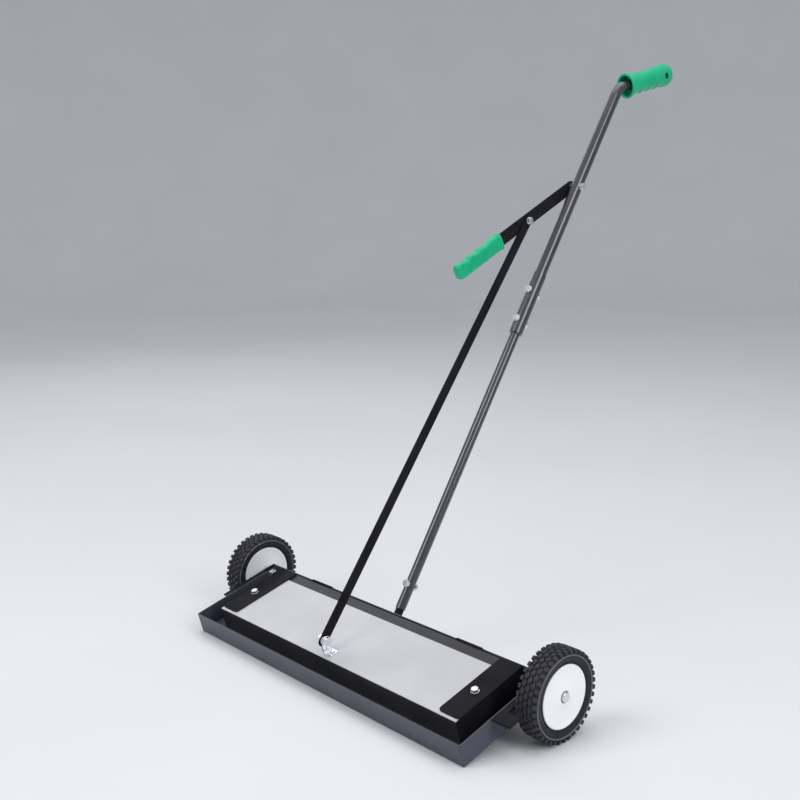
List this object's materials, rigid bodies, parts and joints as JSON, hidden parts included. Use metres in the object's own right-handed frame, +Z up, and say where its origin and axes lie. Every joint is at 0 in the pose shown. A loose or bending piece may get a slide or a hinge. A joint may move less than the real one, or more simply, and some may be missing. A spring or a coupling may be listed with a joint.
{
  "type": "magnetic nail sweeper",
  "caption": "Push-along magnetic sweeper on two wheels: a tray holding a hinged magnet box, a long bent handle with grip, and a release lever that lifts the box.",
  "frame": {"origin": "on the floor, at the middle of the bounding box seen from above, with the sweeper standing by itself on its two wheels and the front edge of the tray", "axes": "+X along the sweeping head and the wheel axle, +Y towards the user and the top grip, +Z up; -Y is the front of the sweeping head"},
  "size_m": [0.7072, 0.8592, 0.961],
  "materials": {
    "tray_paint": "satin grey-blue powder coat",
    "black_paint": "gloss black powder coat",
    "plate_metal": "satin stainless sheet",
    "zinc": "bright zinc plate",
    "yoke_steel": "plain mild steel",
    "magnet": "bare ferrite",
    "grip_green": "soft green plastic",
    "hub_white": "white moulded plastic",
    "bushing": "plain nylon",
    "tyre_rubber": "black rubber with block tread"
  },
  "bodies": {
    "chassis": {"axle_cap_left": "zinc", "axle_cap_right": "zinc", "axle_left": "zinc", "axle_right": "zinc", "axle_washer_left": "zinc", "axle_washer_right": "zinc", "coupling_sleeve": "black_paint", "debris_tray": "tray_paint", "handle_bolts": "zinc", "handle_grip": "grip_green", "handle_nuts": "zinc", "handle_socket": "black_paint", "handle_washers": "zinc", "hinge_leaves_tray": "black_paint", "hinge_pins": "zinc", "lever_pivot_bolt": "zinc", "lever_pivot_nut": "zinc", "lever_pivot_washer": "zinc", "lever_spacer": "zinc", "lower_tube": "black_paint", "socket_nuts": "zinc", "socket_screws": "zinc", "upper_tube": "black_paint", "wheel_bracket_left": "black_paint", "wheel_bracket_right": "black_paint"},
    "magnet_box": {"bottom_cover": "black_paint", "box_shell": "black_paint", "bracket_rivet": "zinc", "end_cap_bolts": "zinc", "end_cap_left": "black_paint", "end_cap_nuts": "zinc", "end_cap_right": "black_paint", "end_cap_washers": "zinc", "hinge_leaves_box": "black_paint", "magnet_blocks": "magnet", "rod_bracket": "zinc", "rod_pivot_bolt": "zinc", "rod_pivot_nut": "zinc", "rod_pivot_washer": "zinc", "top_plate": "plate_metal", "yoke_plate": "yoke_steel"},
    "release_lever": {"lever_grip": "grip_green", "release_lever": "black_paint", "rod_upper_bolt": "zinc", "rod_upper_nut": "zinc", "rod_upper_washer": "zinc"},
    "link_rod": {"link_rod": "black_paint"},
    "wheel_left": {"hub_bushing_left": "bushing", "hub_left": "hub_white", "tyre_left": "tyre_rubber"},
    "wheel_right": {"hub_bushing_right": "bushing", "hub_right": "hub_white", "tyre_right": "tyre_rubber"}
  },
  "joints": [
    {"name": "box_hinge", "type": "hinge", "parent": "chassis", "child": "magnet_box", "pos_m": [0, -0.27347, 0.07823], "axis": [-1, 0, 0], "range_deg": [0, 20]},
    {"name": "lever_hinge", "type": "hinge", "parent": "chassis", "child": "release_lever", "pos_m": [0, 0.16217, 0.73196], "axis": [-1, 0, 0], "range_deg": [0, 25.8]},
    {"name": "rod_hinge", "type": "hinge", "parent": "release_lever", "child": "link_rod", "pos_m": [0, 0.04666, 0.67452], "axis": [-1, 0, 0], "range_deg": [-27.4, 0]},
    {"name": "wheel_left_spin", "type": "hinge", "parent": "chassis", "child": "wheel_left", "pos_m": [0, -0.27965, 0.0635], "axis": [1, 0, 0], "continuous": true},
    {"name": "wheel_right_spin", "type": "hinge", "parent": "chassis", "child": "wheel_right", "pos_m": [0, -0.27965, 0.0635], "axis": [1, 0, 0], "continuous": true}
  ],
  "couplings": [
    {"joint": "lever_hinge", "follows": "box_hinge", "ratio": 1.2868},
    {"joint": "rod_hinge", "follows": "box_hinge", "ratio": -1.3689}
  ]
}
